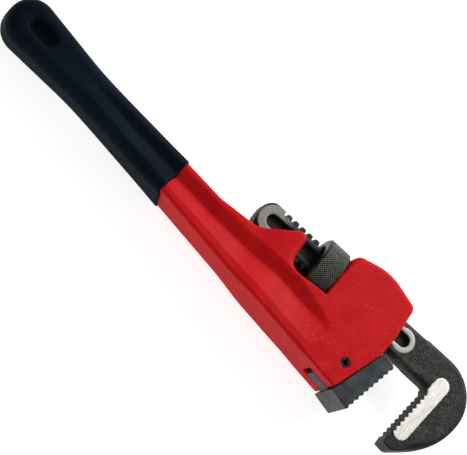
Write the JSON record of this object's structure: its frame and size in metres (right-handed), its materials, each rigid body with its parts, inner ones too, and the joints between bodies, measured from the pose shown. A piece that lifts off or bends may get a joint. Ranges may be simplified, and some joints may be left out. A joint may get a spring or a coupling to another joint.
{
  "type": "pipe wrench",
  "caption": "Straight pipe wrench: red cast handle with a dark dipped grip, sliding hook jaw on a knurled nut and a pinned heel jaw.",
  "frame": {"origin": "middle of the hanging slot at half the wrench's thickness", "axes": "+X along the hook jaw's shank towards the jaws, +Y from the bite towards the toothed outer edge of the shank, +Z out of the upper flank"},
  "size_m": [0.3626, 0.0832, 0.037],
  "materials": {
    "red_paint": "glossy red paint over rough cast ductile iron",
    "vinyl_dip": "satin dark blue-black vinyl dip",
    "forged_steel": "dark mottled forging, ground bright on the pads",
    "jaw_steel": "mid grey machined steel",
    "nut_steel": "dark diamond knurl",
    "spring_steel": "blued spring steel"
  },
  "bodies": {
    "housing": {"handle_housing": "red_paint", "grip": "vinyl_dip", "heel_jaw": "jaw_steel", "heel_jaw_pin": "spring_steel", "spring_rivet": "spring_steel"},
    "spring_pack": {"flat_spring": "spring_steel", "coil_spring": "spring_steel"},
    "hook": {"hook_jaw": "forged_steel"},
    "nut": {"adjusting_nut": "nut_steel"}
  },
  "joints": [
    {"name": "jaw_rock", "type": "hinge", "parent": "housing", "child": "spring_pack", "pos_m": [0.224, -0.0068, 0], "axis": [0, 0, 1], "range_deg": [0, 2], "stiffness_Nm_per_rad": 25, "springref_deg": -1.15, "deforming": ["flat_spring", "coil_spring"]},
    {"name": "jaw_slide", "type": "slide", "parent": "spring_pack", "child": "hook", "axis": [1, 0, 0], "range_m": [-0.022, 0.024]},
    {"name": "nut_spin", "type": "hinge", "parent": "spring_pack", "child": "nut", "pos_m": [0.2157, 0.0117, 0], "axis": [1, 0, 0], "continuous": true}
  ],
  "couplings": [
    {"joint": "nut_spin", "follows": "jaw_slide", "rad_per_m": -1142.4}
  ]
}
